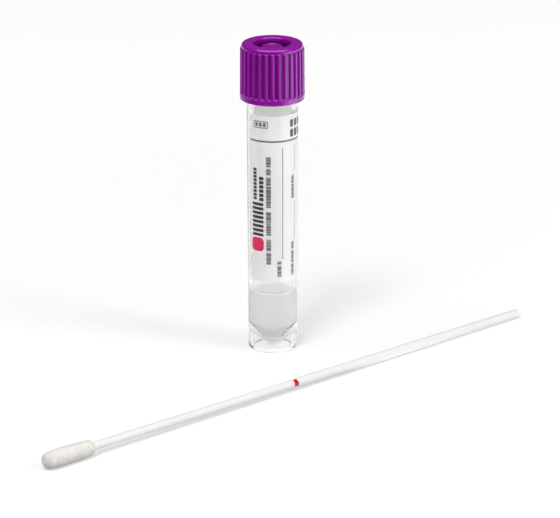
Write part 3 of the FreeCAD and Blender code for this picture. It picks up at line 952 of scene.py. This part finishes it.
def build_cap():
    """The cap, turned from one closed profile, with its ribs and its inner thread as relief."""
    cap, thread = settings("swab_tube_cap"), settings("swab_tube_thread")
    thread_start = neck_foot(settings("swab_tube_wall")) + thread.neck_lead
    thread_top = thread_start + thread.pitch * thread.turns + thread.foot_width
    rib_foot, rib_top = CAP_FOOT + cap.band, CAP_TOP - cap.shoulder
    groove, roof_underside = CAP_RADIUS - cap.rib_height, CAP_TOP - cap.roof
    boss_top, well_floor = CAP_TOP - cap.boss_drop, CAP_TOP - cap.well_depth
    dish, socket_end = boss_top - cap.boss_dish, boss_top - cap.socket_roof
    plug_foot, funnel_foot = well_floor - cap.well_web, CAP_TOP - cap.funnel_drop
    funnel_edge, funnel_rim = cap.funnel_radius + cap.funnel_wall, funnel_foot + cap.funnel_rim
    thread_rows, end_rows, rib_end = 0.12, 0.06, 0.6  # two spacings and how far below the ribs' top
    taper = cap.taper * (1 - rib_end / (rib_top - rib_foot))
    profile = rounded((
        (0, socket_end),
        (cap.socket_radius, socket_end, 0.2),
        (cap.socket_radius, funnel_foot + cap.funnel_height, 0.5),
        (cap.funnel_radius, funnel_foot, 0.1),
        (funnel_edge, funnel_foot, 0.12),
        (funnel_edge, funnel_rim, 0.3),
        (cap.stem_radius, funnel_rim + cap.funnel_height, 0.5),
        (cap.stem_radius, plug_foot, 0.3),
        (cap.plug_radius, plug_foot, 0.35),
        (cap.plug_radius, roof_underside, 0.1),
        (cap.bore, roof_underside, 0.15),
        (cap.bore, thread_top, 0, thread_rows),
        (cap.bore, thread_start - thread.foot_width, 0),
        (cap.bore, CAP_FOOT, 0.2),
        (CAP_RADIUS, CAP_FOOT, 0.3),
        (CAP_RADIUS, rib_foot, 0.06),
        (groove, rib_foot + cap.groove_ledge, 0.15),
        (groove - taper, rib_top - rib_end, 0, end_rows),
        (groove - cap.taper, rib_top - cap.groove_end, 0.1, 0.1),
        (cap.rim_radius, rib_top, 0.12),
        (cap.rim_radius, CAP_TOP, cap.rim_round),
        (cap.well_radius, CAP_TOP, cap.well_lip),
        (cap.well_radius - cap.well_draft, well_floor, 0.3),
        (cap.boss_radius, well_floor, 0.2),
        (cap.boss_radius, boss_top, 0.3),
        (cap.boss_radius - cap.boss_rim, boss_top, 0.15),
        (cap.boss_radius - cap.boss_rim - cap.boss_dish, dish, 0.15),
        (0, dish),
    ))

    def relief(radius, height, angles):
        on_bore = np.abs(radius - cap.bore) < 0.01
        ridge = ridge_height(height, angles, thread_start, thread)
        return np.where(on_bore, -ridge, rib_relief(cap, radius, height, angles))

    vertices, faces = lathe(profile, rib_angles(cap), relief)
    piece = new_piece("cap_shell", vertices, faces, "cap", "cap", sharp=70.0)
    piece.data.materials.append(cap_plastic(cap))


def finish_ring():
    """The sealing ring stays as the model has it and gets its rubber."""
    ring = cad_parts["seal_ring"]
    ring.data.materials.clear()
    ring.data.materials.append(ring_rubber())


def build_label():
    """The label: a sheet round the wall whose rows are drawn in at both ends to round its corners.

    A vertex lies at start + across / radius round the axis, at the wall's radius for its height
    plus the gap and the film. A row at distance d from an end is drawn in by the corner's
    radius minus the root of its square less the square of (radius - d).
    """
    label, wall = settings("swab_tube_label"), settings("swab_tube_wall")
    foot, tall = LABEL_LOW[2], LABEL_HIGH[2] - LABEL_LOW[2]
    corner_rows, plain_rows, places_round = 9, 48, 241
    stand_off = label.gap + label.film
    radius = wall.body_radius + stand_off
    near_end = label.corner * (1 - np.cos(np.linspace(0, math.pi / 2, corner_rows)))
    between = np.linspace(label.corner, tall - label.corner, plain_rows)[1:-1]
    up = np.concatenate([near_end, between, tall - near_end[::-1]])
    from_end = np.minimum(np.minimum(up, tall - up), label.corner)
    drawn_in = label.corner - np.sqrt(label.corner ** 2 - (label.corner - from_end) ** 2)
    along = np.linspace(0, 1, places_round)[None, :]
    across = drawn_in[:, None] + along * (label.wrap * radius - 2 * drawn_in[:, None])
    height = np.repeat((foot + up)[:, None], places_round, axis=1)
    reach = wall_radius(wall, height) + stand_off
    direction = label.start + across / radius
    grid = np.stack([reach * np.cos(direction), reach * np.sin(direction), height], axis=-1)
    rows, columns = across.shape
    first = (np.arange(rows - 1)[:, None] * columns + np.arange(columns - 1)).ravel()
    faces = np.stack([first, first + 1, first + columns + 1, first + columns], axis=-1)
    piece = new_piece("label_film", grid.reshape(-1, 3), faces.tolist(), "base", "label")
    print_place = np.stack([across.ravel(), np.repeat(up, columns)], axis=-1)
    corners = np.empty(len(piece.data.loops), np.int32)
    piece.data.loops.foreach_get("vertex_index", corners)
    layer = piece.data.uv_layers.new(name="print")
    layer.uv.foreach_set("vector", print_place[corners].astype(np.float32).ravel())
    film = piece.modifiers.new("film", "SOLIDIFY")
    film.thickness = label.film * MM
    film.offset = -1.0
    piece.data.materials.append(printed_label_film(label))


def build_medium():
    """The liquid, turned from the chamber's own profile and closed by a surface drawn up at the wall.

    The surface is level in the middle and an arc near the wall, which rises by the rise over
    the reach and starts level.
    """
    medium, wall = settings("swab_tube_medium"), settings("swab_tube_wall")
    overlap = medium.overlap
    tip, ball = wall.chamber_tip - overlap, wall.chamber_ball + overlap
    low_edge = wall.floor_radius + overlap
    contact = medium.level + medium.rise
    edge = chamber_radius(wall, contact) + overlap
    sides = rounded((
        (0, tip),
        ball_corner(tip, ball, wall.cone_slope) + (0.8,),
        (low_edge, cone_height(tip, ball, wall.cone_slope, low_edge), 0.5),
        (edge, contact),
    ))
    arc_radius = (medium.reach ** 2 + medium.rise ** 2) / (2 * medium.rise)
    arc_points, level_points = 13, 5
    turn = np.linspace(math.asin(medium.reach / arc_radius), 0, arc_points + 1)[1:]
    arc = np.stack([edge - medium.reach + arc_radius * np.sin(turn),
                    medium.level + arc_radius * (1 - np.cos(turn))], axis=-1)
    level = np.stack([np.linspace(edge - medium.reach, 0, level_points + 1)[1:],
                      np.full(level_points, medium.level)], axis=-1)
    vertices, faces = lathe(np.concatenate([sides, arc, level]), even_angles(128))
    piece = new_piece("medium_fill", vertices, faces, "base", "medium")
    piece.data.materials.append(watery_liquid(medium))


def build_shaft():
    """The shaft, turned from its profile on its own axis and then laid down."""
    swab = settings("swab_tube_swab")
    notch_low = swab.notch_place - swab.notch_width / 2
    notch_high = swab.notch_place + swab.notch_width / 2
    plain = 4.0  # spacing on the plain lengths
    profile = rounded((
        (0, swab.flock_cover),
        (swab.shaft_radius, swab.flock_cover, 0.2),
        (swab.shaft_radius, notch_low - swab.notch_slope, 0.3, plain),
        (swab.notch_radius, notch_low, 0.2),
        (swab.notch_radius, notch_high, 0.2),
        (HANDLE_RADIUS, notch_high + swab.notch_slope, 0.3, plain),
        (HANDLE_RADIUS, SWAB_LENGTH, swab.handle_round),
        (0, SWAB_LENGTH),
    ))
    vertices, faces = lathe(profile, even_angles(72))
    piece = new_piece("swab_shaft_plastic", lay_down(vertices), faces, "base", "swab_shaft")
    piece.data.materials.append(shaft_plastic(swab))


def flock_profile(swab):
    """Outline of the flocked tip: a ball nose, two parabolas that meet at the belly, an oval heel."""
    nose_end = math.radians(80)
    turn = np.linspace(0, nose_end, 26)
    nose = np.stack([swab.flock_nose * np.sin(turn), swab.flock_nose * (1 - np.cos(turn))], axis=-1)
    along = np.linspace(nose[-1, 1], swab.flock_belly, 16)[1:]
    fall = (swab.flock_belly - along) / (swab.flock_belly - nose[-1, 1])
    front = np.stack([FLOCK_RADIUS - (FLOCK_RADIUS - nose[-1, 0]) * fall ** 2, along], axis=-1)
    heel_start = swab.flock_length - swab.heel_round
    along = np.linspace(swab.flock_belly, heel_start, 36)[1:]
    fall = (along - swab.flock_belly) / (heel_start - swab.flock_belly)
    back = np.stack([FLOCK_RADIUS - (FLOCK_RADIUS - swab.flock_heel) * fall ** 2, along], axis=-1)
    turn = np.linspace(0, math.pi / 2, 14)[1:]
    neck = swab.shaft_radius - 0.05  # the heel ends just inside the shaft
    heel = np.stack([neck + (swab.flock_heel - neck) * np.cos(turn),
                     heel_start + swab.heel_round * np.sin(turn)], axis=-1)
    return np.concatenate([nose, front, back, heel, [[0, swab.flock_length]]])


def flock_fibres(profile, swab, dice):
    """Vertices and faces of the fibres: slim three-sided spikes spread evenly over the tip.

    A spike's foot is a small triangle under the surface, and its point stands over it along
    the surface's own normal, tipped a little at random and longer or shorter by chance.
    """
    shortest, spread, thick, sunk = 0.35, 0.28, 0.022, 0.05
    outline = profile[:-1]
    step = np.diff(outline, axis=0)
    area = np.linalg.norm(step, axis=1) * (outline[1:, 0] + outline[:-1, 0])
    pick = np.searchsorted(np.cumsum(area) / area.sum(), dice.random(swab.fibres))
    part = dice.random(swab.fibres)[:, None]
    across, along = (outline[pick] + step[pick] * part).T
    facing = np.stack([step[pick, 1], -step[pick, 0]], axis=-1)
    facing /= np.linalg.norm(facing, axis=1, keepdims=True)
    round_about = dice.random(swab.fibres) * 2 * math.pi
    cosine, sine = np.cos(round_about), np.sin(round_about)
    root = np.stack([across * cosine, across * sine, along], axis=-1)
    normal = np.stack([facing[:, 0] * cosine, facing[:, 0] * sine, facing[:, 1]], axis=-1)
    lean = normal + dice.normal(0, spread, root.shape)
    lean /= np.linalg.norm(lean, axis=1, keepdims=True)
    reach = swab.nap * dice.uniform(shortest, 1.0, (swab.fibres, 1))
    side = np.cross(lean, [0.31, 0.52, 0.79])
    side /= np.linalg.norm(side, axis=1, keepdims=True)
    other = np.cross(lean, side)
    foot = root - lean * sunk
    corners = [foot + thick * (math.cos(turn) * side + math.sin(turn) * other)
               for turn in (0, 2 * math.pi / 3, 4 * math.pi / 3)]
    vertices = np.stack(corners + [root + lean * reach], axis=1).reshape(-1, 3)
    spike = np.array([[0, 1, 3], [1, 2, 3], [2, 0, 3], [0, 2, 1]])
    faces = (np.arange(swab.fibres)[:, None, None] * 4 + spike).reshape(-1, 3)
    return vertices, faces


def build_flock():
    """The flocked tip: a slightly lumpy turned body, bristling with short fibres, laid down.

    The body's radius is the outline's less the nap, plus a sum of gentle waves round and along it.
    """
    swab = settings("swab_tube_swab")
    dice = np.random.default_rng(7)
    outline = flock_profile(swab)
    slope = np.gradient(outline, axis=0)
    slope /= np.linalg.norm(slope, axis=1, keepdims=True)
    inset = outline - swab.nap * np.stack([slope[:, 1], -slope[:, 0]], axis=-1)
    inset[[0, -1], 0] = 0
    wave_count, wave_height = 14, 0.004
    waves = [(dice.integers(1, 9), dice.uniform(-3.0, 3.0), dice.uniform(0, 2 * math.pi))
             for _ in range(wave_count)]

    def relief(radius, height, angles):
        lumps = sum(np.sin(turns * angles + per_mm * height + phase) for turns, per_mm, phase in waves)
        return wave_height * lumps * np.clip(radius / FLOCK_RADIUS, 0, 1)

    vertices, faces = lathe(inset, even_angles(96), relief)
    spikes, spike_faces = flock_fibres(inset, swab, dice)
    faces = faces + (spike_faces + len(vertices)).tolist()
    vertices = lay_down(np.concatenate([vertices, spikes]))
    piece = new_piece("swab_tip_flock", vertices, faces, "base", "swab_tip", sharp=180.0)
    piece.data.materials.append(flock_fibre(swab))


# ---------------------------------------------------------------------------------------------
# Stage
# ---------------------------------------------------------------------------------------------

def studio_place(stage, right, away, up):
    """A place in the studio, in metres, by how far right of, beyond and above the tube's foot."""
    cosine, sine = math.cos(stage.heading), math.sin(stage.heading)
    return Vector((right * cosine - away * sine, right * sine + away * cosine, up))


def add_soft_light(stage, name, right, away, up, size, watts, mirrored=False):
    """A rectangular lamp aimed at the tube, which either lights the pieces or shows in their gloss."""
    lamp = bpy.data.lights.new(name, "AREA")
    lamp.shape = "RECTANGLE"
    lamp.size, lamp.size_y = size
    lamp.energy = watts
    light = bpy.data.objects.new(name, lamp)
    light.location = studio_place(stage, right, away, up)
    target = Vector((0, 0, 0.04))  # half way up the tube
    light.rotation_euler = (target - light.location).to_track_quat("-Z", "Y").to_euler()
    bpy.context.scene.collection.objects.link(light)
    light.visible_glossy, light.visible_diffuse = mirrored, not mirrored


def light_world():
    """White behind everything, and a dimmer even light on the object itself."""
    world = bpy.data.worlds.new("studio")
    bpy.context.scene.world = world
    world.use_nodes = True
    world.cycles.sampling_method = "NONE"
    nodes = Nodes(world.node_tree)
    world.node_tree.nodes.clear()
    seen, mirrored = ray_kinds(nodes)
    level = nodes.ramp(mirrored, 0.0, 1.0, WORLD_LEVEL, MIRRORED_LEVEL)
    sky = nodes.shader("ShaderNodeBackground", Strength=nodes.math("MAXIMUM", seen, level))
    nodes.put(sky, nodes.add("ShaderNodeOutputWorld").inputs[0])


def build_stage():
    """Floor, lamps, world and camera."""
    stage = settings("swab_tube_stage")
    half, level = 4.0, -0.00002  # the floor lies a hair below the pieces
    corners = [(-half, -half, level), (half, -half, level), (half, half, level), (-half, half, level)]
    mesh = bpy.data.meshes.new("stage_floor")
    mesh.from_pydata(corners, [], [(0, 1, 2, 3)])
    floor = bpy.data.objects.new("stage_floor", mesh)
    bpy.context.scene.collection.objects.link(floor)
    mesh.materials.append(stage_floor(stage))
    light_world()
    add_soft_light(stage, "key", -0.22, -0.50, 0.85, (0.28, 0.28), 4.6)
    add_soft_light(stage, "overhead", 0.0, -0.25, 0.95, (1.6, 1.0), 4.6)
    add_soft_light(stage, "overhead_gloss", 0.0, -0.35, 0.95, (1.6, 0.8), 16.0, mirrored=True)
    add_soft_light(stage, "right_softbox", 0.83, -0.38, 0.35, (0.35, 0.8), 6.5)
    add_soft_light(stage, "left_fill", -0.85, -0.25, 0.45, (0.6, 0.6), 1.5)
    lens = bpy.data.cameras.new("camera")
    lens.lens = stage.lens
    lens.sensor_width = 36.0
    lens.clip_start, lens.clip_end = 0.01, 50.0
    camera = bpy.data.objects.new("camera", lens)
    camera.matrix_world = (Matrix.Translation(stage.place)
                           @ Matrix.Rotation(stage.heading, 4, "Z")
                           @ Matrix.Rotation(math.pi / 2 - stage.dip, 4, "X")
                           @ Matrix.Rotation(stage.roll, 4, "Z"))
    bpy.context.scene.collection.objects.link(camera)
    bpy.context.scene.camera = camera
    bpy.context.scene.view_settings.view_transform = "Standard"


# ---------------------------------------------------------------------------------------------
# Operators, panel and registration
# ---------------------------------------------------------------------------------------------

class BuildWall(bpy.types.Operator):
    """Build the tube's wall, cone, skirt and neck"""
    bl_idname = "swab_tube.build_wall"
    bl_label = "Tube wall"

    def execute(self, context):
        build_wall()
        return {"FINISHED"}


class BuildCap(bpy.types.Operator):
    """Build the ribbed screw cap"""
    bl_idname = "swab_tube.build_cap"
    bl_label = "Cap"

    def execute(self, context):
        build_cap()
        return {"FINISHED"}


class FinishRing(bpy.types.Operator):
    """Give the sealing ring its rubber"""
    bl_idname = "swab_tube.finish_ring"
    bl_label = "Sealing ring"

    def execute(self, context):
        finish_ring()
        return {"FINISHED"}


class BuildLabel(bpy.types.Operator):
    """Build the printed label"""
    bl_idname = "swab_tube.build_label"
    bl_label = "Label"

    def execute(self, context):
        build_label()
        return {"FINISHED"}


class BuildMedium(bpy.types.Operator):
    """Build the liquid in the chamber"""
    bl_idname = "swab_tube.build_medium"
    bl_label = "Liquid"

    def execute(self, context):
        build_medium()
        return {"FINISHED"}


class BuildSwab(bpy.types.Operator):
    """Build the swab's shaft and its flocked tip"""
    bl_idname = "swab_tube.build_swab"
    bl_label = "Swab"

    def execute(self, context):
        build_shaft()
        build_flock()
        return {"FINISHED"}


class BuildStage(bpy.types.Operator):
    """Build the floor, the lamps and the camera"""
    bl_idname = "swab_tube.build_stage"
    bl_label = "Stage"

    def execute(self, context):
        build_stage()
        return {"FINISHED"}


OPERATORS = (BuildWall, BuildCap, FinishRing, BuildLabel, BuildMedium, BuildSwab, BuildStage)


class SwabTubePanel(bpy.types.Panel):
    """The pieces of the swab tube, one button each"""
    bl_idname = "VIEW3D_PT_swab_tube"
    bl_label = "Specimen swab tube"
    bl_space_type = "VIEW_3D"
    bl_region_type = "UI"
    bl_category = "Swab Tube"

    def draw(self, context):
        for operator in OPERATORS:
            self.layout.operator(operator.bl_idname)


def register():
    for group in GROUPS.values():
        bpy.utils.register_class(group)
    for name, group in GROUPS.items():
        setattr(bpy.types.Scene, name, bpy.props.PointerProperty(type=group))
    for shown in OPERATORS + (SwabTubePanel,):
        bpy.utils.register_class(shown)


def unregister():
    for shown in (SwabTubePanel,) + OPERATORS[::-1]:
        bpy.utils.unregister_class(shown)
    for name in GROUPS:
        delattr(bpy.types.Scene, name)
    for group in reversed(GROUPS.values()):
        bpy.utils.unregister_class(group)


def main():
    register()
    bpy.ops.swab_tube.build_wall()
    bpy.ops.swab_tube.build_cap()
    bpy.ops.swab_tube.finish_ring()
    bpy.ops.swab_tube.build_label()
    bpy.ops.swab_tube.build_medium()
    bpy.ops.swab_tube.build_swab()
    bpy.ops.swab_tube.build_stage()


if __name__ == "__main__":
    main()
